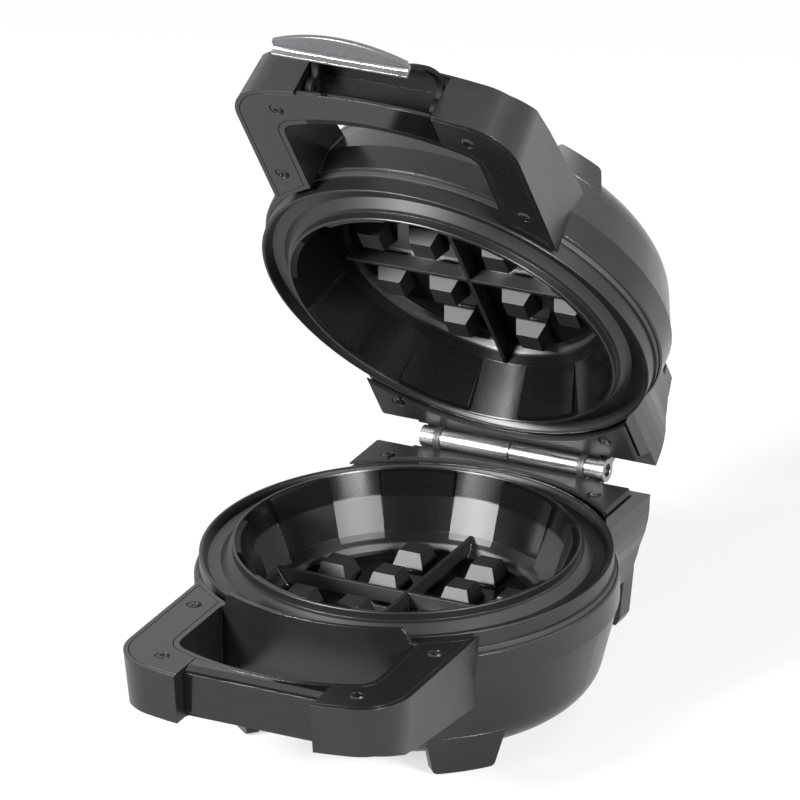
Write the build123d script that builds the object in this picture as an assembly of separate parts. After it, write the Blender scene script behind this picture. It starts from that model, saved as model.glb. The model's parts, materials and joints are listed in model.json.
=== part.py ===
"""Stuffed waffle maker: a deep round base and a hinged lid, each with a cooking plate, and a front latch.

Each half is built in one half frame: X to the right, Y to the rear, the cooking side up and z = 0 on the
plane where the closed halves meet, which also holds the hinge axis. The base is then lifted onto its feet.
The lid is mirrored through that plane and turned up about the hinge. All sizes are in millimetres.
"""
from build123d import *
from dataclasses import dataclass
import math
import os

PARTING_HEIGHT = 88.5
OPEN_ANGLE = 56.2
LATCH_OPEN_ANGLE = 75.3

RUNNING_GAP = 0.05
WALL = 2.8

LIP_RADIUS = 105.0
LIP_Z = -5.5
SKIRT_Z = LIP_Z - 8.5
SKIRT_INNER_RADIUS = LIP_RADIUS - 2.4
PLATE_WALL = 2.6
RIM_RADIUS = 87.0
RIM_Z = LIP_Z + 5.3
SHOULDER_RADIUS = 74.4
WELL_RADIUS = 67.5
PAD_COUNT = 8
PAD_ANGLE = 26.0
PAD_LEDGE_RADIUS = 84.0
STUD_FOOT = 18.4
STUD_TOP = 12.0
STUD_INNER = 20.5
STUD_OUTER = 49.8
RIB_WIDTH = 2.2

HOUSING_RADIUS = LIP_RADIUS + 2.8
BAND_BREAK_Z = -31.5
HOUSING_RIM_Z = -16.8
LEDGE_INNER_RADIUS = LIP_RADIUS - 4.0
LEDGE_THICKNESS = 2.0
RING_OUTER_RADIUS = LIP_RADIUS + 1.2
RING_INNER_RADIUS = LIP_RADIUS - 3.5
CLEARING_RADIUS = HOUSING_RADIUS + 0.8

HINGE_Y = HOUSING_RADIUS + 10.0

ARM_X = 78.0
CROWN_Y = -183.8
CROWN_CORNER_Y = -171.9
CORNER_RADIUS = 27.0
GRIP_X = 54.0
GRIP_FRONT_Y = -160.0
GRIP_CORNER_Y = -148.0
GRIP_RADIUS = 11.0
HANDLE_TOP_Z = -6.5
HANDLE_DRAFT = 5.0
COVER_THICKNESS = 2.0
COVER_GAP = 0.4
HANDLE_RIM = 2.5
GRIP_RIM = 3.0
COVER_REAR_RADIUS = HOUSING_RADIUS + 3.2
UNDERSIDE = [(-40.0, -48.5), (-75.0, -47.0), (-109.0, -43.4), (-132.0, -41.3), (-153.0, -38.2),
             (-159.0, -36.2), (-170.0, -33.3), (-190.0, -33.3)]
HANDLE_FLOOR = 2.6
RECESS_X = 37.5
RECESS_FACE_Y = -171.0
CATCH_Z = -30.0
CATCH_SEAT_Z = HANDLE_TOP_Z - COVER_THICKNESS - 2.0
MIDDLE_WALL_Y = -164.2
CAVITY_FLOOR_Z = -30.9
GUARD_OUTER_RADIUS = HOUSING_RADIUS + 5.0
GUARD_WALL = 2.4
GUARD_TOP_Z = 2.5

BLOCK_REAR_Y = HINGE_Y + 12.2
BLOCK_SIDE = [(73.6, -8.5), (75.1, -15.0), (74.9, -18.2), (74.6, -23.9), (73.8, -29.8), (72.1, -36.9),
              (69.2, -44.8), (67.5, -51.4), (65.2, -61.0), (65.0, -62.0)]
BLOCK_BOTTOM_Z = -62.0
DECK_SEAT_Z = -6.5
DECK_SEAT_X = 71.0
DECK_REAR_Y = HINGE_Y - 6.4
DECK_FRONT_Y = 76.0
DECK_TAB_X = 52.0
DECK_TAB_Y = DECK_REAR_Y + 2.0
DECK_X = 73.4
DECK_BEVEL = 1.1
DECK_CORNER = 2.0
DECK_FRONT_RADIUS = HOUSING_RADIUS + 1.7
LEDGE_Z = -15.0
LEDGE_X = 71.8
LEDGE_WALL = 2.5

HINGE_SHIFT = 2.2
BARREL_RADIUS = 5.5
PIN_RADIUS = 3.4
PIN_ENDS = (-50.0, 50.5)
LONG_KNUCKLE = (0.4, 39.2)
SHORT_START = 43.2
SHORT_END_PLAIN = 50.9
SHORT_END_COLLARED = 54.3
COLLAR_LENGTH = 4.0
EAR_SPLIT = 41.2
EAR_RADIUS = 6.1
COLLAR_RADIUS = 6.2
RIDGE_TOP_Z = -BARREL_RADIUS - 0.7

SCREW_SHANK_RADIUS = 1.45
SCREW_HOLE_RADIUS = 1.5
SCREW_HEAD_RADIUS = 3.5
HANDLE_REAR_SCREW = (67.0, -103.4)
DECK_SCREW = (58.9, 96.7)

GLAND_RADIUS = 7.0
GLAND_BORE_RADIUS = 3.6
PAD_THICKNESS = 1.6
FOOT_DROP = 0.8
FOOT_THICKNESS = 6.5
FOOT_ROUND = 3.0
FOOT_TURN = 44.0

ELEMENT_RADIUS = 48.0
ELEMENT_TUBE = 3.2
SHIELD_THICKNESS = 0.8
SHIELD_RADIUS = 70.0
CLIP_INNER_RADIUS = LEDGE_INNER_RADIUS - 8.6
CLIP_OUTER_RADIUS = LEDGE_INNER_RADIUS + 3.2
CLIP_SCREW_RADIUS = CLIP_INNER_RADIUS + 2.8
CLIP_SHEET = 0.8
MOAT_UNDERSIDE_Z = LIP_Z - 6.6

LATCH_PIVOT = (-171.5, -17.0)
LATCH_HALF_WIDTH = 36.8
LATCH_PIN_RADIUS = 1.5
ARM_STRIP_X = (32.6, 36.2)
ARM_BOSS_RADIUS = 5.2
LATCH_PATH = [(5.0, 1.2), (10.2, 3.4), (13.0, 8.5), (13.4, 15.5), (11.2, 28.5), (7.7, 39.0), (3.2, 48.6)]
LATCH_STRIP = 2.4
HOOK_W = -LATCH_PIVOT[1] - CATCH_Z + 0.4
PULL_SHEET = 2.0


@dataclass
class Half:
    """What differs between the two halves."""
    name: str
    shoulder_z: float
    floor_z: float
    bowl_bottom_z: float
    wall_foot: tuple
    bowl_corner_radius: float
    front_screw: tuple
    foot_bottom_z: float
    foot_top_z: float
    foot_half_lengths: tuple
    rear_foot: list
    bracket_side: int


BASE = Half("base", LIP_Z - 24.6, LIP_Z - 34.0, -78.7, (99.7, -62.0), 20.6, (53.7, -162.4),
            -PARTING_HEIGHT + FOOT_DROP, -66.0, (21.0, 16.0),
            [(46.0, -58.0), (65.4, -58.0), (62.6, -84.0), (60.4, -PARTING_HEIGHT + FOOT_DROP),
             (47.0, -PARTING_HEIGHT + FOOT_DROP)], 1)
LID = Half("lid", LIP_Z - 20.6, LIP_Z - 30.0, -70.0, (100.0, -48.9), 28.0, (52.5, -162.4),
           -71.5, -56.0, (16.0, 12.5),
           [(46.0, -58.0), (65.4, -58.0), (63.0, -69.0), (61.0, -71.5), (47.0, -71.5)], -1)


def closed_face(points):
    """Flat face through a closed list of points."""
    return make_face(Polyline(*points, close=True).edges())


def turned(profile, angle=360.0):
    """Solid turned about Z from a profile of (radius, z) points, starting at +X."""
    return revolve(closed_face([(r, 0, z) for r, z in profile]), Axis.Z, angle)


def across(profile, half_width):
    """Solid with a (y, z) profile, reaching half_width to each side of x = 0."""
    return extrude(closed_face([(0, y, z) for y, z in profile]), half_width, dir=(1, 0, 0), both=True)


def along(profile, low_y, high_y):
    """Solid with an (x, z) profile between two y positions."""
    return extrude(closed_face([(x, low_y, z) for x, z in profile]), high_y - low_y, dir=(0, 1, 0))


def block(low, high):
    """Box between two opposite corners."""
    size = [b - a for a, b in zip(low, high)]
    return Pos(*[(a + b) / 2 for a, b in zip(low, high)]) * Box(*size)


def rod(radius, low, high, x=0.0, y=0.0):
    """Upright cylinder between two heights."""
    return Pos(x, y, (low + high) / 2) * Cylinder(radius, high - low)


def hinge_rod(radius, low_x, high_x):
    """Cylinder along the hinge axis."""
    return Pos((low_x + high_x) / 2, HINGE_Y, 0) * Rot(0, 90, 0) * Cylinder(radius, high_x - low_x)


def both_sides(shape):
    """The shape and its mirror image across the middle plane."""
    return [shape, mirror(shape, Plane.YZ)]


def bowl(half, inset=0.0):
    """Solid of the bowl's outside, or of its hollow where inset is the wall."""
    foot_r, foot_z = half.wall_foot
    slope = (HOUSING_RADIUS - 0.4 - foot_r) / (BAND_BREAK_Z - foot_z)
    bottom = half.bowl_bottom_z + inset
    corner = (foot_r - slope * (foot_z - bottom) - inset, 0, bottom)
    points = [(0, 0, bottom), corner, (HOUSING_RADIUS - 0.4 - inset, 0, BAND_BREAK_Z)]
    if inset:
        points += [(HOUSING_RADIUS - inset, 0, HOUSING_RIM_Z + 1), (0, 0, HOUSING_RIM_Z + 1)]
    else:
        points += [(HOUSING_RADIUS, 0, BAND_BREAK_Z), (HOUSING_RADIUS, 0, HOUSING_RIM_Z - 0.8),
                   (HOUSING_RADIUS - 0.8, 0, HOUSING_RIM_Z), (0, 0, HOUSING_RIM_Z)]
    face = closed_face(points)
    vertex = face.vertices().sort_by_distance(corner)[0]
    return revolve(fillet(vertex, half.bowl_corner_radius - inset), Axis.Z)


def handle_plan():
    """Outline of the handle seen from above, with its crowned front and big front corners."""
    crown = ThreePointArc((-ARM_X, CROWN_CORNER_Y), (0, CROWN_Y), (ARM_X, CROWN_CORNER_Y))
    sides = Polyline((ARM_X, CROWN_CORNER_Y), (ARM_X, -40), (-ARM_X, -40), (-ARM_X, CROWN_CORNER_Y))
    face = make_face([*crown.edges(), *sides.edges()])
    corners = face.vertices().sort_by(Axis.Y)[0:2]
    return fillet(corners, CORNER_RADIUS)


def grip_plan():
    """Outline of the finger opening, run on into the bowl."""
    front = ThreePointArc((-GRIP_X, GRIP_CORNER_Y), (0, GRIP_FRONT_Y), (GRIP_X, GRIP_CORNER_Y))
    sides = Polyline((GRIP_X, GRIP_CORNER_Y), (GRIP_X, -60), (-GRIP_X, -60), (-GRIP_X, GRIP_CORNER_Y))
    face = make_face([*front.edges(), *sides.edges()])
    corners = face.vertices().sort_by(Axis.Y)[0:2]
    return fillet(corners, GRIP_RADIUS)


def plan_solid(sketch, low, high):
    """Solid standing on a plan sketch between two heights."""
    return extrude(Pos(0, 0, low) * sketch, high - low)


def handle_region(low, high, rim=0.0, grip_rim=0.0):
    """Ring of the handle between two heights, drawn in below its top, less a rim outside and at the opening."""
    outline = offset(handle_plan(), -rim) if rim else handle_plan()
    opening = offset(grip_plan(), grip_rim) if grip_rim else grip_plan()
    solid = extrude(Pos(0, 0, HANDLE_TOP_Z) * outline, HANDLE_TOP_Z - low, dir=(0, 0, -1), taper=HANDLE_DRAFT)
    if high > HANDLE_TOP_Z:
        solid += plan_solid(outline, HANDLE_TOP_Z, high)
    return solid - plan_solid(opening, low - 1, high + 1)


def middle_zone(low, high, half_width=RECESS_X, rear_y=MIDDLE_WALL_Y):
    """Box at the middle of the handle's front bar."""
    return block((-half_width, -200, low), (half_width, rear_y, high))


def handle(half):
    """Handle as an open tray: rims, floor, screw posts and the latch recess or cavity."""
    under = across(UNDERSIDE + [(-190, HANDLE_TOP_Z), (-40, HANDLE_TOP_Z)], ARM_X + 1)
    solid = handle_region(-60, HANDLE_TOP_Z) & under
    seat = handle_region(HANDLE_TOP_Z - COVER_THICKNESS, 0, HANDLE_RIM, GRIP_RIM)
    floor = [(y, z + HANDLE_FLOOR) for y, z in UNDERSIDE]
    hollow = handle_region(-60, 0, HANDLE_RIM, GRIP_RIM) & across(floor + [(-190, 0), (-40, 0)], ARM_X)
    keep_out = rod(COVER_REAR_RADIUS, -70, 10)
    solid -= seat - keep_out
    solid -= hollow - keep_out - middle_zone(-70, 10, RECESS_X + 3, -150)
    for x, y in (HANDLE_REAR_SCREW, half.front_screw):
        post = rod(4.0, -46, HANDLE_TOP_Z - COVER_THICKNESS, x, y) - rod(SCREW_HOLE_RADIUS, -20, 0, x, y)
        solid += both_sides(post & under)
    if half is BASE:
        solid -= handle_region(CATCH_SEAT_Z, 10, 0.0, GRIP_RIM) & middle_zone(-20, 10, RECESS_X, -150)
        solid -= middle_zone(CATCH_Z - 40, CATCH_Z, rear_y=RECESS_FACE_Y + 5)
        solid -= middle_zone(CATCH_Z, 10, rear_y=RECESS_FACE_Y + 2)
    else:
        solid -= block((-RECESS_X, -200, CAVITY_FLOOR_Z), (RECESS_X, MIDDLE_WALL_Y, 10))
        pivot = Pos(0, *LATCH_PIVOT) * Rot(0, 90, 0) * Cylinder(LATCH_PIN_RADIUS + RUNNING_GAP, 82)
        solid -= pivot
        for low_x, high_x in ((-37.0, -26.5), (-18.5, -5.0), (-3.0, 8.5)):
            solid += block((low_x, MIDDLE_WALL_Y - 1.6, -20), (high_x, MIDDLE_WALL_Y, -9))
    return solid


def finger_guard():
    """Curved wall that stands between the fingers and the hot plates."""
    top = [(-GRIP_X - 1, -40), (GRIP_X + 1, -40), (GRIP_X + 1, -6.5), (51.5, -5.0), (49.8, 0.5), (48.0, GUARD_TOP_Z),
           (-48.0, GUARD_TOP_Z), (-49.8, 0.5), (-51.5, -5.0), (-GRIP_X - 1, -6.5)]
    wall = rod(GUARD_OUTER_RADIUS, -45, 5) - rod(GUARD_OUTER_RADIUS - GUARD_WALL, -46, 6)
    web = rod(GUARD_OUTER_RADIUS, -28, -24) - rod(HOUSING_RADIUS - 1, -29, -23)
    span = along(top, -115, -60)
    return (wall & span) + (web & span)


def rear_block(half):
    """Block behind the bowl that carries the deck, the hinge and the rear feet."""
    side = [(DECK_SEAT_X, DECK_SEAT_Z), (DECK_SEAT_X, BLOCK_SIDE[0][1])] + BLOCK_SIDE
    rear = [(50, DECK_SEAT_Z), (BLOCK_REAR_Y, DECK_SEAT_Z), (BLOCK_REAR_Y, -50), (BLOCK_REAR_Y - 2.5, BLOCK_BOTTOM_Z),
            (50, BLOCK_BOTTOM_Z)]
    solid = along(side + [(-x, z) for x, z in reversed(side)], 50, BLOCK_REAR_Y) & across(rear, 80)
    solid -= block((-LEDGE_X, DECK_REAR_Y, LEDGE_Z), (LEDGE_X, BLOCK_REAR_Y + 5, 0))
    start = DECK_REAR_Y + 0.6
    notch = [(start, 0), (start, BLOCK_SIDE[0][1]), (start + 5.2, LEDGE_Z), (BLOCK_REAR_Y + 5, LEDGE_Z),
             (BLOCK_REAR_Y + 5, 0)]
    solid -= across(notch, 80)
    side = half.bracket_side
    for low_x, high_x in ((-LONG_KNUCKLE[1], -LONG_KNUCKLE[0]), (SHORT_START, SHORT_END_PLAIN)):
        ends = sorted((side * low_x + HINGE_SHIFT, side * high_x + HINGE_SHIFT))
        solid += block((ends[0], HINGE_Y - 4.2, LEDGE_Z - 1), (ends[1], HINGE_Y + 3.2, RIDGE_TOP_Z))
    foot = along(half.rear_foot, 119, BLOCK_REAR_Y + 1)
    return solid + both_sides(foot)


def block_hollow():
    """Space inside the rear block for the mains terminals."""
    side = [(x - 3.2, z) for x, z in BLOCK_SIDE[1:]]
    side[0] = (side[0][0], LEDGE_Z - LEDGE_WALL)
    side[-1] = (side[-1][0], BLOCK_BOTTOM_Z + WALL)
    profile = side + [(-x, z) for x, z in reversed(side)]
    body = along(profile, 60, BLOCK_REAR_Y - WALL)
    upper = block((-DECK_SEAT_X + 3.5, 60, LEDGE_Z - 4), (DECK_SEAT_X - 3.5, DECK_REAR_Y - WALL, DECK_SEAT_Z - 2.5))
    return body + upper


def wall_radius(half, z):
    """Radius of the bowl's lower wall, carried on below its corner."""
    foot_r, foot_z = half.wall_foot
    return foot_r + (HOUSING_RADIUS - 0.4 - foot_r) / (BAND_BREAK_Z - foot_z) * (z - foot_z)


def front_foot(half):
    """Broad thin leg that carries the bowl's wall on downwards, at 46 degrees from the X axis."""
    top, bottom = half.foot_half_lengths
    low, high = half.foot_bottom_z, half.foot_top_z
    face = closed_face([(-top, 0, high), (top, 0, high), (bottom, 0, low), (-bottom, 0, low)])
    face = fillet(face.vertices().sort_by(Axis.Z)[0:2], FOOT_ROUND)
    leg = extrude(face, 125, dir=(0, -1, 0))
    outer_high, outer_low = wall_radius(half, high), wall_radius(half, low)
    shell = turned([(outer_high, high), (outer_low, low), (outer_low - FOOT_THICKNESS, low),
                    (outer_high - FOOT_THICKNESS, high)])
    return Rot(0, 0, FOOT_TURN) * (leg & shell)


def housing(half):
    """Moulded shell of one half: bowl, handle, rear block and feet."""
    solid = bowl(half) + handle(half) + rear_block(half)
    for foot in both_sides(front_foot(half)):
        solid += foot
    solid -= rod(CLEARING_RADIUS, HOUSING_RIM_Z, 20)
    inside = bowl(half, WALL) & rod(130, -100, HOUSING_RIM_Z - LEDGE_THICKNESS)
    solid -= inside
    solid -= rod(LEDGE_INNER_RADIUS, HOUSING_RIM_Z - 3, 20)
    solid -= block_hollow() - rod(HOUSING_RADIUS + 1, -100, 10)
    solid -= block((-24, 90, -46), (24, 115, -24))
    if half is BASE:
        solid += finger_guard() - rod(HOUSING_RADIUS - 1.5, -60, 10)
        solid -= Pos(0, BLOCK_REAR_Y, -44) * Rot(90, 0, 0) * Cylinder(GLAND_RADIUS + 0.02, 12)
        for pad in foot_pads(0.02):
            solid -= pad
    for x, y in deck_screw_places():
        solid += rod(4.0, -24, DECK_SEAT_Z, x, y) & block((-66, 92, -30), (66, 110, 0))
        solid -= rod(SCREW_HOLE_RADIUS, -20, 0, x, y)
    for x in bracket_screw_places(half):
        solid -= rod(SCREW_HOLE_RADIUS + 0.05, LEDGE_Z - 6, LEDGE_Z + 1, x, HINGE_Y)
    return solid


def foot_pads(grow=0.0):
    """Rubber pads under the four base feet, let into the plastic."""
    low, high = -PARTING_HEIGHT, -PARTING_HEIGHT + PAD_THICKNESS
    outer = wall_radius(BASE, BASE.foot_bottom_z) - 2.0
    front = block((-9 - grow, -outer - grow, low), (9 + grow, -outer + 3 + grow, high))
    rear = block((49.5 - grow, 121 - grow, low), (58.5 + grow, 129 + grow, high))
    return both_sides(Rot(0, 0, FOOT_TURN) * front) + both_sides(rear)


def deck_screw_places():
    """Places of the two screws in the deck cover."""
    x, y = DECK_SCREW
    return [(x, y), (-x, y)]


def bracket_screw_places(half):
    """x positions of the screws that hold the hinge brackets of one half."""
    side = half.bracket_side
    return [HINGE_SHIFT + x for x in (side * 10.0, side * 30.0, -side * 47.5)]


def cooking_plate(half):
    """Cast cooking plate: raised lip, moat, bead, tapered cavity wall with pads, ribs and studs."""
    s, f = half.shoulder_z, half.floor_z
    z = LIP_Z
    top = [(0, f), (WELL_RADIUS, f), (SHOULDER_RADIUS, s), (RIM_RADIUS, RIM_Z), (88.0, RIM_Z), (88.3, z + 4.9),
           (88.3, z + 0.9), (90.2, z + 0.3), (94.2, z - 4.0), (100.5, z - 4.0), (103.1, z - 0.5), (103.7, z),
           (LIP_RADIUS - 0.3, z), (LIP_RADIUS, z - 0.3)]
    skirt = [(LIP_RADIUS, SKIRT_Z), (SKIRT_INNER_RADIUS, SKIRT_Z), (SKIRT_INNER_RADIUS, z - 3.6)]
    under = [(101.2, MOAT_UNDERSIDE_Z), (93.4, MOAT_UNDERSIDE_Z), (89.2, z - 2.4), (86.4, z - 2.6), (SHOULDER_RADIUS + 2.6, s - 1.0),
             (WELL_RADIUS + 1.7, f - PLATE_WALL), (0, f - PLATE_WALL)]
    plate = turned(top + skirt + under)
    pad = turned([(RIM_RADIUS + 0.6, RIM_Z - 0.3), (PAD_LEDGE_RADIUS, z + 4.2), (SHOULDER_RADIUS + 0.1, s + 0.5),
                  (SHOULDER_RADIUS + 1.2, s + 0.5)], PAD_ANGLE)
    step = 360.0 / PAD_COUNT
    for i in range(PAD_COUNT):
        plate += Rot(0, 0, (i + 0.5) * step - PAD_ANGLE / 2) * pad
    rib = along([(-SHOULDER_RADIUS - 0.6, s), (SHOULDER_RADIUS + 0.6, s), (WELL_RADIUS + 0.6, f - 1),
                 (-WELL_RADIUS - 0.6, f - 1)], -RIB_WIDTH / 2, RIB_WIDTH / 2)
    plate += rib
    plate += Rot(0, 0, 90) * rib
    height = s - f + 0.6
    draft = math.degrees(math.atan((STUD_FOOT - STUD_TOP) / 2 / height))
    stud = extrude(Rectangle(STUD_FOOT, STUD_FOOT), height, taper=draft)
    for x, y in ((STUD_INNER, STUD_INNER), (STUD_INNER, STUD_OUTER), (STUD_OUTER, STUD_INNER)):
        for side_x in (-1, 1):
            for side_y in (-1, 1):
                plate += Pos(side_x * x, side_y * y, f - 0.6) * stud
    for x, y in shield_screw_places():
        plate += rod(4.0, shield_top(half), f - 1.5, x, y)
        plate -= rod(SCREW_HOLE_RADIUS, shield_top(half) - 1, shield_top(half) + 5.5, x, y)
    for x, y in clip_places():
        plate -= rod(SCREW_HOLE_RADIUS, z - 8, z - 4.9, x, y)
    return plate


def element_z(half):
    """Height of the heating element's centre line, just under the plate."""
    return half.floor_z - PLATE_WALL - ELEMENT_TUBE - 0.3


def shield_top(half):
    """Height of the heat shield's upper face."""
    return element_z(half) - ELEMENT_TUBE - 0.3


def shield_screw_places():
    """Three places around the plate's floor."""
    return [(60 * math.cos(math.radians(a)), 60 * math.sin(math.radians(a))) for a in (-90, 30, 150)]


def clip_places():
    """Four places around the plate's moat."""
    return [(CLIP_SCREW_RADIUS * math.cos(math.radians(a)), CLIP_SCREW_RADIUS * math.sin(math.radians(a)))
            for a in (45, 135, 225, 315)]


def insulating_ring():
    """Ring that keeps the hot plate off the housing's ledge."""
    return turned([(RING_INNER_RADIUS, HOUSING_RIM_Z), (RING_OUTER_RADIUS, HOUSING_RIM_Z),
                   (RING_OUTER_RADIUS, SKIRT_Z), (RING_INNER_RADIUS, SKIRT_Z)])


def heating_element(half):
    """Sheathed element: an open ring and two straight ends to the rear."""
    z = element_z(half)
    start = math.radians(90 + 24)
    sweep_angle = 360 - 48
    x, y = ELEMENT_RADIUS * math.cos(start), ELEMENT_RADIUS * math.sin(start)
    tube = Plane(origin=(x, y, z), z_dir=(-math.sin(start), math.cos(start), 0)) * Circle(ELEMENT_TUBE)
    solid = revolve(tube, Axis.Z, sweep_angle)
    for side in (-1, 1):
        end = Pos(side * abs(x), y + 24, z) * Rot(90, 0, 0) * Cylinder(ELEMENT_TUBE, 48 + 6)
        solid += end
    return solid


def heat_shield(half):
    """Shallow steel dish under the element, open at the rear for its ends."""
    top = shield_top(half)
    dish = turned([(13, top - SHIELD_THICKNESS), (SHIELD_RADIUS, top - SHIELD_THICKNESS), (SHIELD_RADIUS, top + 5.2),
                   (SHIELD_RADIUS - SHIELD_THICKNESS, top + 5.2), (SHIELD_RADIUS - SHIELD_THICKNESS, top), (13, top)])
    dish -= block((-26, 50, top), (26, 90, top + 8))
    for x, y in shield_screw_places():
        dish -= rod(SCREW_HOLE_RADIUS + 0.1, top - 3, top + 2, x, y)
    return dish


def plate_clips():
    """Bent clips that hold the plate's moat down against the housing's ledge."""
    top = MOAT_UNDERSIDE_Z
    low = HOUSING_RIM_Z - LEDGE_THICKNESS
    leg = LEDGE_INNER_RADIUS - 1.0
    profile = [(CLIP_INNER_RADIUS, top), (leg, top), (leg, low), (CLIP_OUTER_RADIUS, low),
               (CLIP_OUTER_RADIUS, low - CLIP_SHEET), (leg - CLIP_SHEET, low - CLIP_SHEET),
               (leg - CLIP_SHEET, top - CLIP_SHEET), (CLIP_INNER_RADIUS, top - CLIP_SHEET)]
    clip = extrude(closed_face([(r, 0, z) for r, z in profile]), 5.0, dir=(0, 1, 0), both=True)
    clip -= rod(SCREW_HOLE_RADIUS + 0.1, top - 3, top + 2, CLIP_SCREW_RADIUS, 0)
    return [Rot(0, 0, angle) * clip for angle in (45, 135, 225, 315)]


def inner_screws(half):
    """Screws of the plate's clips and of the heat shield, put in from below."""
    places = [(x, y, shield_top(half) - SHIELD_THICKNESS) for x, y in shield_screw_places()]
    places += [(x, y, MOAT_UNDERSIDE_Z - CLIP_SHEET) for x, y in clip_places()]
    lengths = [5.0] * 3 + [2.3] * 4
    screws = []
    for (x, y, seat), length in zip(places, lengths):
        screws.append(rod(SCREW_SHANK_RADIUS, seat, seat + length, x, y) + rod(2.8, seat - 1.8, seat, x, y))
    return screws


def handle_cover(half):
    """Flat plate let into the top of the handle."""
    low = HANDLE_TOP_Z - COVER_THICKNESS
    plate = handle_region(low, HANDLE_TOP_Z, HANDLE_RIM + COVER_GAP, GRIP_RIM + COVER_GAP)
    plate -= rod(COVER_REAR_RADIUS + 0.2, low - 1, 10)
    if half is BASE:
        plate -= middle_zone(low - 1, 10, RECESS_X + 0.3, -140)
    else:
        tongue = handle_region(low, HANDLE_TOP_Z, 1.0, GRIP_RIM + COVER_GAP) & middle_zone(-20, 0, 36.8, -150)
        plate += tongue
    for x, y in (HANDLE_REAR_SCREW, half.front_screw):
        for hole in both_sides(cover_hole(HANDLE_TOP_Z, x, y)):
            plate -= hole
    return plate


def cover_hole(top, x, y):
    """Counterbored screw hole in a cover plate."""
    hole = rod(SCREW_HOLE_RADIUS + 0.1, top - 5, top + 1, x, y)
    return hole + rod(SCREW_HEAD_RADIUS + 0.35, top - 1.2, top + 1, x, y)


def cover_screws(half):
    """Six cross-slotted pan-head screws of one half's covers."""
    screws = []
    tops = [(HANDLE_REAR_SCREW, HANDLE_TOP_Z, 5), (half.front_screw, HANDLE_TOP_Z, 22),
            (DECK_SCREW, DECK_SEAT_Z + COVER_THICKNESS, 35)]
    for (x, y), top, turn in tops:
        seat = top - 1.2
        screw = rod(SCREW_SHANK_RADIUS, seat - 9, seat, x, y)
        screw += rod(SCREW_HEAD_RADIUS, seat, seat + 0.9, x, y)
        screw += Pos(x, y, seat + 0.9) * Cone(SCREW_HEAD_RADIUS, SCREW_HEAD_RADIUS - 1.2, 0.7,
                                              align=(Align.CENTER, Align.CENTER, Align.MIN))
        for angle in (turn, turn + 90):
            slot = Rot(0, 0, angle) * Box(3.6, 0.8, 1.6)
            screw -= Pos(x, y, seat + 1.6) * slot
        screws += both_sides(screw)
    return screws


def deck_cover(half):
    """Rear cover plate in front of the hinge, with a bevelled edge and cut rear corners."""
    low = DECK_SEAT_Z
    top = DECK_SEAT_Z + COVER_THICKNESS
    side = [(DECK_X, low), (DECK_X, top - DECK_BEVEL), (DECK_X - DECK_BEVEL, top)]
    profile = side + [(-x, z) for x, z in reversed(side)]
    plate = along(profile, DECK_FRONT_Y, DECK_REAR_Y)
    corner = Pos(DECK_X, DECK_REAR_Y, low) * Rot(0, 0, 45) * Box(DECK_CORNER * 1.42, 10, 10)
    for cut in both_sides(corner):
        plate -= cut
    plate += block((-DECK_TAB_X, DECK_REAR_Y - 5, low), (DECK_TAB_X, DECK_TAB_Y, top))
    plate -= rod(DECK_FRONT_RADIUS, low - 1, 10)
    for x, y in deck_screw_places():
        plate -= cover_hole(top, x, y)
    return plate


def latch_catch():
    """Glossy strip and face plate in the base handle's recess, whose lower edge the hook goes under."""
    front, flat = RECESS_FACE_Y, RECESS_FACE_Y + 5.5
    profile = [(-145, HANDLE_TOP_Z), (flat, HANDLE_TOP_Z), (front + 1.2, HANDLE_TOP_Z - 1.2),
               (front, HANDLE_TOP_Z - 2.4), (front, CATCH_Z), (front + 2, CATCH_Z), (front + 2, CATCH_SEAT_Z),
               (-145, CATCH_SEAT_Z)]
    opening = plan_solid(offset(grip_plan(), GRIP_RIM + COVER_GAP), -60, 10)
    return across(profile, RECESS_X - 0.3) - opening


def bracket(half, low_x, high_x, screws, collar):
    """Hinge knuckle on an upright web that stands on the rear ledge."""
    solid = hinge_rod(BARREL_RADIUS, low_x, high_x)
    solid += block((low_x, HINGE_Y - 2.6, LEDGE_Z), (high_x, HINGE_Y + 2.6, -2))
    if collar:
        solid += hinge_rod(COLLAR_RADIUS, high_x - COLLAR_LENGTH, high_x)
    solid -= hinge_rod(PIN_RADIUS + RUNNING_GAP, low_x - 1, high_x + 1)
    for x in screws:
        solid -= rod(SCREW_HOLE_RADIUS, LEDGE_Z - 1, LEDGE_Z + 6, x, HINGE_Y)
    return solid


def hinge_place(shape, side):
    """Hinge part built on the right of the seam, put on the given side of it."""
    return Pos(HINGE_SHIFT, 0, 0) * (shape if side > 0 else mirror(shape, Plane.YZ))


def hinge_long(half):
    """Long knuckle of one half."""
    return hinge_place(bracket(half, *LONG_KNUCKLE, (10.0, 30.0), False), half.bracket_side)


def hinge_short(half):
    """Short end knuckle of one half, on the other side."""
    end = SHORT_END_PLAIN if half is BASE else SHORT_END_COLLARED
    return hinge_place(bracket(half, SHORT_START, end, (47.5,), half is LID), -half.bracket_side)


def hinge_ears(half):
    """Dark plastic rings between the knuckles, each with a leg down to its own half."""
    if half is BASE:
        low_x, high_x = LONG_KNUCKLE[1] + 0.2, EAR_SPLIT - 0.05
    else:
        low_x, high_x = EAR_SPLIT + 0.05, SHORT_START - 0.2
    ear = hinge_rod(EAR_RADIUS, low_x, high_x)
    ear += block((low_x, HINGE_Y - 2.9, LEDGE_Z), (high_x, HINGE_Y + 2.9, -2))
    ear -= hinge_rod(PIN_RADIUS + RUNNING_GAP, low_x - 1, high_x + 1)
    return [hinge_place(ear, side) for side in (1, -1)]


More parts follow.
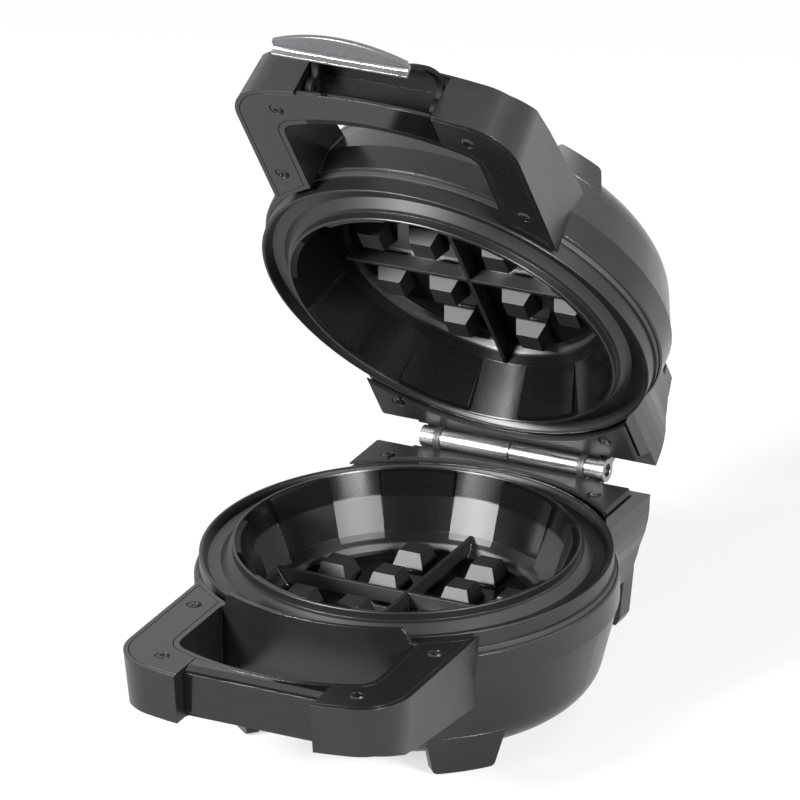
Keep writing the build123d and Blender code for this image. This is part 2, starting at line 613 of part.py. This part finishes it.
def bracket_screws(half):
    """Screws up through the rear ledge into the hinge brackets."""
    seat = LEDGE_Z - LEDGE_WALL
    return [rod(SCREW_SHANK_RADIUS, seat, LEDGE_Z + 5.5, x, HINGE_Y) + rod(2.8, seat - 1.8, seat, x, HINGE_Y)
            for x in bracket_screw_places(half)]


def thermostat():
    """Snap disc thermostat under the middle of the base plate."""
    top = BASE.floor_z - PLATE_WALL
    body = rod(8.0, top - 9, top) + rod(11.0, top - 1.2, top)
    for x in (-5.0, 5.0):
        body += block((x - 0.4, -3, top - 16), (x + 0.4, 3, top - 9))
    return body


def thermal_fuse(half):
    """Thermal fuse lying under the plate's floor, with its two leads."""
    z = half.floor_z - PLATE_WALL - 2.2
    return Pos(27, -14, z) * Rot(90, 0, 0) * (Cylinder(2.0, 14) + Cylinder(0.6, 34))


def terminal_block():
    """Two-way block in the rear housing where the mains joins the inner leads."""
    body = block((-16, 108.8, -46), (16, 124, -33))
    for x in (-8.0, 8.0):
        body -= rod(2.6, -38, -32, x, 113)
        body -= rod(2.6, -38, -32, x, 120)
    return body


def cord_gland():
    """Bushing in the rear wall where a mains cord would enter."""
    inner = BLOCK_REAR_Y - WALL
    outer = Pos(0, BLOCK_REAR_Y + 1.5, -44) * Rot(90, 0, 0) * Cylinder(GLAND_RADIUS + 2.0, 3)
    body = Pos(0, (inner + BLOCK_REAR_Y) / 2, -44) * Rot(90, 0, 0) * Cylinder(GLAND_RADIUS, WALL)
    bore = Pos(0, BLOCK_REAR_Y, -44) * Rot(90, 0, 0) * Cylinder(GLAND_BORE_RADIUS, 20)
    return outer + body - bore


def latch_point(u, w):
    """Point of the closed latch, u in front of the pivot and w down from it towards the base."""
    return (LATCH_PIVOT[0] - u, LATCH_PIVOT[1] + w)


def latch_arm():
    """Bent strip from the pivot boss round the lid's front edge to the pull, for the right side."""
    outer, inner = [], []
    last = len(LATCH_PATH) - 1
    for i, (u, w) in enumerate(LATCH_PATH):
        before, after = LATCH_PATH[max(i - 1, 0)], LATCH_PATH[min(i + 1, last)]
        du, dw = after[0] - before[0], after[1] - before[1]
        size = math.hypot(du, dw)
        nu, nw = dw / size, -du / size
        outer.append(latch_point(u + nu * LATCH_STRIP / 2, w + nw * LATCH_STRIP / 2))
        inner.append(latch_point(u - nu * LATCH_STRIP / 2, w - nw * LATCH_STRIP / 2))
    low_x, high_x = ARM_STRIP_X
    edges = [Spline(*[(low_x, y, z) for y, z in outer]), Line((low_x, *outer[-1]), (low_x, *inner[-1])),
             Spline(*[(low_x, y, z) for y, z in reversed(inner)]), Line((low_x, *inner[0]), (low_x, *outer[0]))]
    strip = extrude(make_face([e for line in edges for e in line.edges()]), high_x - low_x, dir=(1, 0, 0))
    centre = Pos((low_x + high_x) / 2, *LATCH_PIVOT) * Rot(0, 90, 0)
    strip += centre * Cylinder(ARM_BOSS_RADIUS, high_x - low_x)
    return strip - centre * Cylinder(LATCH_PIN_RADIUS + RUNNING_GAP, 20)


def pull_section(x):
    """Closed section of the pull at one x: hook flange, finger channel and outer lip, bowed in the middle."""
    bow = 1.0 - (x / LATCH_HALF_WIDTH) ** 2
    points = [(-1.7, 0.0), (4.2, 0.0), (4.9, 1.2), (4.6 + 1.4 * bow, 2.6 + 4.2 * bow),
              (5.0 + 2.9 * bow, 4.0 + 7.2 * bow), (5.6 + 3.2 * bow, 5.0 + 7.6 * bow),
              (3.9 + 3.0 * bow, 5.8 + 7.6 * bow), (3.1 + 2.7 * bow, 4.7 + 7.2 * bow),
              (2.8 + 1.4 * bow, 3.6 + 4.1 * bow), (2.2, 2.5 + 0.6 * bow), (1.2, PULL_SHEET), (-1.7, PULL_SHEET)]
    return closed_face([(x, *latch_point(u, HOOK_W + w)) for u, w in points])


def latch_pull(arms):
    """Bowed pull with the hook edge along its top, slotted for the ends of the arms."""
    count = 9
    stations = [-LATCH_HALF_WIDTH + 2 * LATCH_HALF_WIDTH * i / (count - 1) for i in range(count)]
    solid = loft([pull_section(x) for x in stations])
    for arm in arms:
        solid -= arm
    return solid


def latch_pins():
    """Two short pins that the latch swings on, each through one arm into the cavity's wall."""
    low_x, high_x = ARM_STRIP_X[0], RECESS_X + 2.5
    pin = Pos((low_x + high_x) / 2, *LATCH_PIVOT) * Rot(0, 90, 0) * Cylinder(LATCH_PIN_RADIUS, high_x - low_x)
    return both_sides(pin)


def hinge_pin():
    """Rod through all the hinge knuckles, short of their ends."""
    return hinge_rod(PIN_RADIUS, PIN_ENDS[0] + HINGE_SHIFT, PIN_ENDS[1] + HINGE_SHIFT)


def place_base(shape):
    """Base part in the object's frame."""
    return Pos(0, 0, PARTING_HEIGHT) * shape


def place_lid(shape):
    """Lid part mirrored, opened and put in the object's frame."""
    opened = mirror(shape, Plane.XY).rotate(Axis((0, HINGE_Y, 0), (1, 0, 0)), -OPEN_ANGLE)
    return Pos(0, 0, PARTING_HEIGHT) * opened


def place_latch(shape):
    """Latch part swung from closed to open, then put on the lid."""
    y, z = LATCH_PIVOT
    return place_lid(shape.rotate(Axis((0, y, z), (1, 0, 0)), LATCH_OPEN_ANGLE))


def save(name, shapes, place):
    """Writes one named piece, or one group of separate like pieces."""
    if not isinstance(shapes, list):
        shapes = [shapes]
    solids = [solid for shape in shapes for solid in shape.solids()]
    placed = [place(solid) for solid in solids]
    result = placed[0] if len(placed) == 1 else Compound(children=placed)
    export_step(result, f"parts/{name}.step")
    print(name, len(solids), round(sum(s.volume for s in solids)))


os.makedirs("parts", exist_ok=True)
for half, place in ((BASE, place_base), (LID, place_lid)):
    name = half.name
    save(f"{name}_housing", housing(half), place)
    covers = handle_cover(half).solids().sort_by(Axis.X)
    if half is BASE:
        save("base_handle_cover_left", covers[0], place)
        save("base_handle_cover_right", covers[1], place)
    else:
        save("lid_handle_cover", covers[0], place)
    save(f"{name}_deck_cover", deck_cover(half), place)
    save(f"{name}_cover_screws", cover_screws(half), place)
    save(f"{name}_cooking_plate", cooking_plate(half), place)
    save(f"{name}_insulating_ring", insulating_ring(), place)
    save(f"{name}_plate_clips", plate_clips(), place)
    save(f"{name}_inner_screws", inner_screws(half), place)
    save(f"{name}_heating_element", heating_element(half), place)
    save(f"{name}_heat_shield", heat_shield(half), place)
    save(f"{name}_thermal_fuse", thermal_fuse(half), place)
    save(f"{name}_hinge_long", hinge_long(half), place)
    save(f"{name}_hinge_short", hinge_short(half), place)
    save(f"{name}_hinge_ears", hinge_ears(half), place)
    save(f"{name}_hinge_screws", bracket_screws(half), place)
save("hinge_pin", hinge_pin(), place_base)
save("thermostat", thermostat(), place_base)
save("terminal_block", terminal_block(), place_base)
save("cord_gland", cord_gland(), place_base)
save("foot_pads", foot_pads(), place_base)
save("latch_catch", latch_catch(), place_base)
arms = both_sides(latch_arm())
save("latch_pull", latch_pull(arms), place_latch)
save("latch_arm_right", arms[0], place_latch)
save("latch_arm_left", arms[1], place_latch)
save("latch_pivot_pin", latch_pins(), place_lid)
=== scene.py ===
"""Looks of the stuffed waffle maker: materials, lamps, floor and the photograph's camera.

The CAD shapes stay as they are. Lengths named here are in millimetres, and MM turns them into metres.
"""
import json
import math

import bpy
from mathutils import Matrix, Vector

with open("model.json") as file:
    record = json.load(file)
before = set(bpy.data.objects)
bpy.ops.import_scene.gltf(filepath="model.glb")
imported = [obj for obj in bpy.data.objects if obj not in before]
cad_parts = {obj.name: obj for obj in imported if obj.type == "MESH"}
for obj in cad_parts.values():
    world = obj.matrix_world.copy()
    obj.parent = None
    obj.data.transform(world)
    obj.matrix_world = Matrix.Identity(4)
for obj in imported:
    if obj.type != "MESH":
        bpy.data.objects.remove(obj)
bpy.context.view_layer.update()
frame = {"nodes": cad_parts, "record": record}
nodes = frame["nodes"]

MM = 0.001
EDGE_ROUND = 0.45
SCREW_EDGE_ROUND = 0.15
CLOUD_SIZE = 35.0
MASK_BLUR = 0.01
NOISE_BAND = (0.35, 0.65)

# Places on the closed appliance. The lid is turned down about the hinge by LID_TURN degrees to get there.
HINGE_AT = Vector((0.0, 117.8, 88.5)) * MM
PARTING_Z = 88.5
LID_TURN = 56.2
STRIP_HALF_WIDTH = 37.2
RECESS_HALF_WIDTH = 37.8
RECESS_BACK_Y = -112.5
RECESS_LOW_Z = 90.5
RECESS_HIGH_Z = 120.5

# Zones of a cooking plate, each as the value where its mask is 0 and the value where it is 1: radii, depths
# from the parting plane, and the cosine of GROOVES times the angle about the axis, large in a groove.
GROOVES = 8.0
GROOVE_WAVE = (0.22, 0.30)
GROOVE_RADIUS = (72.0, 73.0)
GROOVE_DEPTH = (12.0, 13.5)
WELL_RADIUS = (87.2, 86.6)
WALL_RADIUS = (69.0, 70.0)
STUD_RADIUS = (71.0, 70.0)
STUD_RISE = (1.2, 2.2)

# Specular levels: the shader's own one, and lowered ones that paint shade into the recess of the lid's handle
# and down the wall of a cooking plate.
SHINE = 0.5
RECESS_SHADE_SHINE = 0.08
WALL_SHADE_SHINE = 0.06


def srgb(text):
    """sRGB hex colour as linear RGBA."""
    values = [int(text[i:i + 2], 16) / 255 for i in (0, 2, 4)]
    return [v / 12.92 if v <= 0.04045 else ((v + 0.055) / 1.055) ** 2.4 for v in values] + [1.0]


WHITE = srgb("ffffff")


def add_node(tree, kind, settings=None, *wired, **links):
    """Adds one shader node, sets its properties and sockets, and links outputs to its inputs.

    Outputs in wired go to the first inputs in their order, those in links to the inputs of their names.
    """
    node = tree.nodes.new(kind)
    for key, value in (settings or {}).items():
        if isinstance(key, int) or key in node.inputs:
            node.inputs[key].default_value = value
        else:
            setattr(node, key, value)
    for socket, output in zip(node.inputs, wired):
        tree.links.new(output, socket)
    for key, output in links.items():
        tree.links.new(output, node.inputs[key.replace("_", " ")])
    return node


def new_material(name):
    """Empty node material, with its tree, its output and its Object coordinates."""
    material = bpy.data.materials.new(name)
    material.use_nodes = True
    tree = material.node_tree
    tree.nodes.clear()
    output = add_node(tree, "ShaderNodeOutputMaterial")
    place = add_node(tree, "ShaderNodeTexCoord").outputs["Object"]
    return material, tree, output, place


def closed_place(tree, place, turn):
    """x, y and z in millimetres after turn degrees about the hinge have closed the appliance."""
    closed = add_node(tree, "ShaderNodeVectorRotate", {"rotation_type": "X_AXIS", "Center": HINGE_AT,
                                                      "Angle": math.radians(turn)}, Vector=place)
    scaled = add_node(tree, "ShaderNodeVectorMath", {"operation": "SCALE", "Scale": 1 / MM},
                      closed.outputs["Vector"])
    return add_node(tree, "ShaderNodeSeparateXYZ", Vector=scaled.outputs["Vector"]).outputs


def zone(tree, *ramps):
    """Mask that is 1 inside all its ramps. A ramp is an output, its value outside and its value inside."""
    mask = None
    for value, outside, inside in ramps:
        ramp = add_node(tree, "ShaderNodeMapRange", {"From Min": outside, "From Max": inside}, Value=value)
        if mask is None:
            mask = ramp.outputs["Result"]
        else:
            mask = add_node(tree, "ShaderNodeMath", {"operation": "MULTIPLY"}, mask,
                            ramp.outputs["Result"]).outputs["Value"]
    return mask


def surface(parts, dark, light, grain_mm, bump_mm, edge_mm, relief, fixed, **driven):
    """Completes a new material: a fine grain drives colour and bump, and rounded edges catch the light.

    The colour runs from dark to light. relief is an output that scales the bump, or None. fixed holds the
    shader's constants, driven the outputs that go to its inputs.
    """
    material, tree, output, place = parts
    grain = add_node(tree, "ShaderNodeTexNoise", {"Scale": 1 / (grain_mm * MM), "Detail": 2.0}, Vector=place)
    tint = add_node(tree, "ShaderNodeValToRGB", Fac=grain.outputs["Fac"])
    for element, colour, position in zip(tint.color_ramp.elements, (dark, light), NOISE_BAND):
        element.color = srgb(colour)
        element.position = position
    edge = add_node(tree, "ShaderNodeBevel", {"Radius": edge_mm * MM, "samples": 4})
    bump = add_node(tree, "ShaderNodeBump", {"Distance": bump_mm * MM}, Height=grain.outputs["Fac"],
                    Normal=edge.outputs["Normal"])
    if relief is not None:
        tree.links.new(relief, bump.inputs["Strength"])
    shader = add_node(tree, "ShaderNodeBsdfPrincipled", fixed, Base_Color=tint.outputs["Color"],
                      Normal=bump.outputs["Normal"], **driven)
    tree.links.new(shader.outputs["BSDF"], output.inputs["Surface"])
    return material


def grained(name, dark, light, roughness, spread, grain_mm, bump_mm, edge_mm=EDGE_ROUND, gloss_strip=None,
            shaded_recess=False, **fixed):
    """Material with a fine grain and slow clouds that move its roughness by spread to each side.

    A gloss_strip roughness holds within STRIP_HALF_WIDTH of the middle plane. With shaded_recess the recess of
    the lid's handle has its shine turned down as painted shade. fixed holds the shader's constants, with _ for
    a space in a name.
    """
    parts = new_material(name)
    material, tree, output, place = parts
    cloud = add_node(tree, "ShaderNodeTexNoise", {"Scale": 1 / (CLOUD_SIZE * MM), "Detail": 3.0},
                     Vector=place)
    rough = add_node(tree, "ShaderNodeMapRange",
                     {"From Min": NOISE_BAND[0], "From Max": NOISE_BAND[1], "To Min": roughness - spread,
                      "To Max": roughness + spread}, Value=cloud.outputs["Fac"])
    driven = {"Roughness": rough.outputs["Result"]}
    if gloss_strip or shaded_recess:
        x, y, z = closed_place(tree, place, LID_TURN)
        beside = add_node(tree, "ShaderNodeMath", {"operation": "ABSOLUTE"}, x).outputs["Value"]
    if gloss_strip:
        strip = zone(tree, (beside, STRIP_HALF_WIDTH, STRIP_HALF_WIDTH - MASK_BLUR))
        driven["Roughness"] = add_node(tree, "ShaderNodeMapRange", {"To Max": gloss_strip}, Value=strip,
                                       To_Min=rough.outputs["Result"]).outputs["Result"]
    # Painted shade: inside the recess of the lid's handle the specular level is turned down.
    if shaded_recess:
        inside = zone(tree, (beside, RECESS_HALF_WIDTH + MASK_BLUR, RECESS_HALF_WIDTH),
                      (y, RECESS_BACK_Y + MASK_BLUR, RECESS_BACK_Y),
                      (z, RECESS_LOW_Z, RECESS_LOW_Z + MASK_BLUR),
                      (z, RECESS_HIGH_Z + MASK_BLUR, RECESS_HIGH_Z))
        shine = add_node(tree, "ShaderNodeMapRange", {"To Min": SHINE, "To Max": RECESS_SHADE_SHINE}, Value=inside)
        driven["Specular_IOR_Level"] = shine.outputs["Result"]
    constants = {key.replace("_", " "): value for key, value in fixed.items()}
    return surface(parts, dark, light, grain_mm, bump_mm, edge_mm, None, constants, **driven)


def cast_coat(name, turn, floor_depth, groove_grain, shade_depth):
    """Sprayed non-stick coat of a cooking plate: shiny on pads and floor, granular in grooves and on studs.

    The zones are measured about the plate's axis and from the parting plane, after turn has closed the lid. A
    stud is what stands off the floor. groove_grain is 0 where the grooves are as shiny as the pads. From
    shade_depth down, the wall's shine is turned down as painted shade.
    """
    parts = new_material(name)
    material, tree, output, place = parts
    x, y, z = closed_place(tree, place, turn)
    flat = add_node(tree, "ShaderNodeCombineXYZ", None, x, y).outputs["Vector"]
    radius = add_node(tree, "ShaderNodeVectorMath", {"operation": "LENGTH"}, flat).outputs["Value"]
    height = add_node(tree, "ShaderNodeMath", {"operation": "SUBTRACT", 1: PARTING_Z}, z).outputs["Value"]
    depth = add_node(tree, "ShaderNodeMath", {"operation": "ABSOLUTE"}, height).outputs["Value"]
    angle = add_node(tree, "ShaderNodeMath", {"operation": "ARCTAN2"}, y, x).outputs["Value"]
    turns = add_node(tree, "ShaderNodeMath", {"operation": "MULTIPLY", 1: GROOVES}, angle).outputs["Value"]
    wave = add_node(tree, "ShaderNodeMath", {"operation": "COSINE"}, turns).outputs["Value"]

    in_well = zone(tree, (radius, *WELL_RADIUS))
    in_groove = zone(tree, (wave, *GROOVE_WAVE), (radius, *GROOVE_RADIUS), (depth, *GROOVE_DEPTH))
    on_stud = zone(tree, (radius, *STUD_RADIUS),
                   (depth, floor_depth - STUD_RISE[0], floor_depth - STUD_RISE[1]))
    # Painted shade: deep on the wall of the well the specular level is turned down.
    wall_shade = zone(tree, (radius, *WELL_RADIUS), (radius, *WALL_RADIUS), (depth, shade_depth, shade_depth - 1.0))
    sprayed = add_node(tree, "ShaderNodeMath", {"operation": "MULTIPLY", 1: groove_grain}, in_groove)
    granular = add_node(tree, "ShaderNodeMath", {"operation": "MAXIMUM"}, sprayed.outputs["Value"],
                        on_stud).outputs["Value"]

    calm = add_node(tree, "ShaderNodeMapRange", {"To Min": 0.36, "To Max": 0.17}, Value=in_well)
    rough = add_node(tree, "ShaderNodeMapRange", {"To Max": 0.50}, Value=granular,
                     To_Min=calm.outputs["Result"])
    relief = add_node(tree, "ShaderNodeMapRange", {"To Min": 0.12, "To Max": 1.0}, Value=granular)
    shine = add_node(tree, "ShaderNodeMapRange", {"To Min": SHINE, "To Max": WALL_SHADE_SHINE}, Value=wall_shade)
    return surface(parts, "040404", "0a0a0a", 0.55, 0.05, EDGE_ROUND, relief.outputs["Result"], {"IOR": 1.5},
                   Roughness=rough.outputs["Result"], Specular_IOR_Level=shine.outputs["Result"])


# Satin moulded housing: a fine spark-eroded grain that breaks up the softboxes into broad soft highlights.
abs_housing = grained("abs_moulded_satin", "070708", "0d0d0e", 0.27, 0.04, 0.45, 0.010, IOR=1.53)
# The lid's shell is the same, with painted shade inside the latch recess: its shine is turned down there, so
# that it stays dark in the key light.
abs_lid_housing = grained("abs_moulded_satin_lid_recess_shade", "070708", "0d0d0e", 0.27, 0.04, 0.45, 0.010,
                          shaded_recess=True, IOR=1.53)
# Flat let-in covers: the same plastic from a smoother tool, with a polished strip at the latch that mirrors.
abs_cover = grained("abs_moulded_smooth", "050505", "0a0a0b", 0.30, 0.03, 0.40, 0.006,
                    gloss_strip=0.07, IOR=1.53)
# Decks beside the hinge: the same plastic with a coarser texture, so that the tubes don't mirror in them.
abs_deck = grained("abs_moulded_textured", "060606", "0b0b0c", 0.55, 0.04, 0.60, 0.020, IOR=1.45)
# Polished catch: nearly black, with a clear reflection and faint sink marks.
abs_gloss = grained("abs_polished", "080808", "0b0b0c", 0.07, 0.02, 2.0, 0.002, IOR=1.53)
# Base plate: granular grooves and stud faces glitter in the two softboxes beside smooth dark pads, and its
# lower wall has painted shade.
base_coat = cast_coat("ptfe_coated_aluminium", 0.0, 39.5, 1.0, 13.5)
# Lid plate: the same coat with painted shade on its wall all the way down, so that only its studs light up.
lid_coat = cast_coat("ptfe_coated_aluminium_lid", LID_TURN, 35.5, 0.0, 31.0)
# Insulating rings and the rings between the hinge tubes: dull pressed resin.
resin = grained("phenolic_moulded", "0a0909", "121111", 0.60, 0.05, 0.8, 0.010, IOR=1.58)
# Latch arms: the same resin with a matt paint that gives hardly any highlight.
arm_paint = grained("matt_painted_resin", "060606", "0b0b0b", 0.65, 0.05, 0.8, 0.010, Specular_IOR_Level=0.1)
# Hinge tubes: plated steel with fine polishing marks and one long highlight.
nickel = grained("nickel_plated_steel", "8a8a8d", "9e9ea1", 0.27, 0.04, 0.8, 0.003, Metallic=1.0)
# Latch pull: brushed chrome, greyer than the tubes, with soft bands along it.
satin_chrome = grained("satin_chromed_steel", "747477", "88888b", 0.30, 0.04, 0.5, 0.006, Metallic=1.0)
# Screws: dark passivated zinc that shows only glints at its slots and rims.
zinc_screw = grained("zinc_plated_steel", "3c3c3e", "515154", 0.30, 0.06, 0.5, 0.004,
                     edge_mm=SCREW_EDGE_ROUND, Metallic=1.0)
# Pins, shields, clips and sheaths: plain rolled steel with a dull sheen.
bare_steel = grained("bare_rolled_steel", "8a8a8c", "9c9c9e", 0.35, 0.06, 0.8, 0.006, Metallic=1.0)
# Latch pins: blackened, so that their ends don't stand out in the arms.
black_oxide = grained("blackened_steel", "141415", "1e1e20", 0.45, 0.05, 0.5, 0.004, Metallic=1.0)
# Foot pads: rubber without any shine.
rubber = grained("moulded_rubber", "0f0f0f", "1a1a1a", 0.75, 0.05, 0.5, 0.020, IOR=1.52)
# Terminal block: cream urea with a slight gloss.
ceramic = grained("urea_moulded", "cbc5b6", "d8d2c4", 0.45, 0.05, 1.0, 0.004, IOR=1.55)

SLOT_FINISH = {
    "black_housing": abs_housing, "black_cover": abs_cover, "gloss_black": abs_gloss, "nonstick": base_coat,
    "insulator": resin, "hinge_metal": nickel, "latch_metal": satin_chrome, "screw_steel": zinc_screw,
    "inner_steel": bare_steel, "rubber": rubber, "ceramic": ceramic,
}
NODE_FINISH = {
    "lid_cooking_plate": lid_coat, "lid_housing": abs_lid_housing, "latch_pivot_pin": black_oxide,
    "latch_arm_left": arm_paint, "latch_arm_right": arm_paint, "base_deck_cover": abs_deck,
    "lid_deck_cover": abs_deck,
}
for entry in frame["record"]["subparts"]:
    name = entry["node"]
    mesh = nodes[name].data
    mesh.materials.clear()
    mesh.materials.append(NODE_FINISH.get(name) or SLOT_FINISH[entry["material_slot"]])

LIGHT_AIM = Vector((0.0, 0.0, 150.0)) * MM
LIGHT_DISTANCE = 2.4
# Name, azimuth to the right of the front and elevation in degrees, width and height in metres, power in watts.
LAMPS = (
    ("key_softbox", -27, 24, 0.9, 0.36, 280),
    ("side_softbox", 64, 24, 0.7, 0.36, 160),
    ("rear_softbox", 150, 50, 1.4, 1.0, 25),
)
for name, azimuth, elevation, width, height, power in LAMPS:
    turn = math.radians(azimuth)
    rise = math.radians(elevation)
    away = Vector((math.sin(turn) * math.cos(rise), -math.cos(turn) * math.cos(rise), math.sin(rise)))
    lamp_data = bpy.data.lights.new(name, "AREA")
    lamp_data.shape = "RECTANGLE"
    lamp_data.size = width
    lamp_data.size_y = height
    lamp_data.energy = power
    lamp = bpy.data.objects.new(name, lamp_data)
    bpy.context.scene.collection.objects.link(lamp)
    lamp.location = LIGHT_AIM + away * LIGHT_DISTANCE
    lamp.rotation_euler = away.to_track_quat("Z", "Y").to_euler()


def seen_directly(tree, kinds):
    """1 where a ray of one of the kinds looks at the surface, otherwise 0."""
    rays = add_node(tree, "ShaderNodeLightPath")
    value = rays.outputs[kinds[0]]
    for kind in kinds[1:]:
        value = add_node(tree, "ShaderNodeMath", {"operation": "MAXIMUM"}, value,
                         rays.outputs[kind]).outputs["Value"]
    return value


CAMERA_RAYS = ("Is Camera Ray",)
MIRROR_RAYS = ("Is Glossy Ray", "Is Transmission Ray")

# The white sweep stands behind and beside the object. On the camera's side of it the room is dark, which only
# reflections see: the camera itself looks at white from any side. SWEEP_EDGE is the direction's y where the
# room ends and where the full sweep starts. AMBIENT is what the surroundings add to the lamps.
AMBIENT = 0.25
BACKDROP = 1.0
ROOM = 0.06
SWEEP_EDGE = (-0.45, -0.05)
world = bpy.data.worlds.new("studio")
bpy.context.scene.world = world
world.use_nodes = True
tree = world.node_tree
tree.nodes.clear()
toward = add_node(tree, "ShaderNodeTexCoord").outputs["Generated"]
depth = add_node(tree, "ShaderNodeSeparateXYZ", Vector=toward).outputs["Y"]
sweep = add_node(tree, "ShaderNodeMapRange",
                 {"From Min": SWEEP_EDGE[0], "From Max": SWEEP_EDGE[1], "To Min": ROOM, "To Max": BACKDROP},
                 Value=depth)
mirrored = add_node(tree, "ShaderNodeMapRange", {"To Min": AMBIENT}, Value=seen_directly(tree, MIRROR_RAYS),
                    To_Max=sweep.outputs["Result"])
level = add_node(tree, "ShaderNodeMapRange", {"To Max": BACKDROP}, Value=seen_directly(tree, CAMERA_RAYS),
                 To_Min=mirrored.outputs["Result"])
sky = add_node(tree, "ShaderNodeBackground", {"Color": WHITE}, Strength=level.outputs["Result"])
add_node(tree, "ShaderNodeOutputWorld", Surface=sky.outputs["Background"])

# Reflections see the paper with painted light: darker in front of the object than behind it and to its right.
# PAPER_ACROSS is the direction in which it brightens, from the first to the second metre of PAPER_SPAN, by
# PAPER_MIRRORED.
FLOOR_HALF = 4.0
PAPER_GLOW = 0.66
PAPER_ACROSS = (0.9, 0.44, 0.0)
PAPER_SPAN = (-0.4, 0.6)
PAPER_MIRRORED = (0.25, 0.85)
corners = [(x * FLOOR_HALF, y * FLOOR_HALF, 0.0) for x, y in ((-1, -1), (1, -1), (1, 1), (-1, 1))]
floor_mesh = bpy.data.meshes.new("studio_floor")
floor_mesh.from_pydata(corners, [], [(0, 1, 2, 3)])
floor = bpy.data.objects.new("studio_floor", floor_mesh)
bpy.context.scene.collection.objects.link(floor)
paper, tree, output, place = new_material("white_paper_sweep")
along = add_node(tree, "ShaderNodeVectorMath", {"operation": "DOT_PRODUCT", 1: PAPER_ACROSS}, place)
painted_paper_light = add_node(tree, "ShaderNodeMapRange",
               {"From Min": PAPER_SPAN[0], "From Max": PAPER_SPAN[1], "To Min": PAPER_MIRRORED[0],
                "To Max": PAPER_MIRRORED[1]}, Value=along.outputs["Value"])
mirrored = add_node(tree, "ShaderNodeMapRange", Value=seen_directly(tree, MIRROR_RAYS[:1]),
                    To_Max=painted_paper_light.outputs["Result"])
glow = add_node(tree, "ShaderNodeMapRange", {"To Max": PAPER_GLOW}, Value=seen_directly(tree, CAMERA_RAYS),
                To_Min=mirrored.outputs["Result"])
# Paper: no sheen, and grey enough that the lamps on it light the object little from below.
paper_shader = add_node(tree, "ShaderNodeBsdfPrincipled",
                        {"Base Color": srgb("6c6c6c"), "Roughness": 0.8, "Specular IOR Level": 0.0,
                         "Emission Color": WHITE}, Emission_Strength=glow.outputs["Result"])
tree.links.new(paper_shader.outputs["BSDF"], output.inputs["Surface"])
floor_mesh.materials.append(paper)

CAMERA_AZIMUTH = math.radians(26.8286)
CAMERA_ELEVATION = math.radians(23.9179)
CAMERA_ROLL = math.radians(-0.7248)
CAMERA_DISTANCE = 4.51633
CAMERA_TARGET = Vector((-2.4317, -0.4952, 164.4875)) * MM
back = Vector((math.sin(CAMERA_AZIMUTH) * math.cos(CAMERA_ELEVATION),
               -math.cos(CAMERA_AZIMUTH) * math.cos(CAMERA_ELEVATION), math.sin(CAMERA_ELEVATION)))
level_right = (-back).cross(Vector((0, 0, 1))).normalized()
level_up = level_right.cross(-back)
right = level_right * math.cos(CAMERA_ROLL) + level_up * math.sin(CAMERA_ROLL)
up = -level_right * math.sin(CAMERA_ROLL) + level_up * math.cos(CAMERA_ROLL)
camera_data = bpy.data.cameras.new("photo_camera")
camera_data.lens = 405.0
camera_data.sensor_width = 36.0
camera_data.clip_end = 50.0
camera = bpy.data.objects.new("photo_camera", camera_data)
bpy.context.scene.collection.objects.link(camera)
camera.matrix_world = Matrix.Translation(CAMERA_TARGET + back * CAMERA_DISTANCE) @ Matrix(
    (right, up, back)).transposed().to_4x4()
bpy.context.scene.camera = camera
bpy.context.scene.view_settings.view_transform = "Standard"
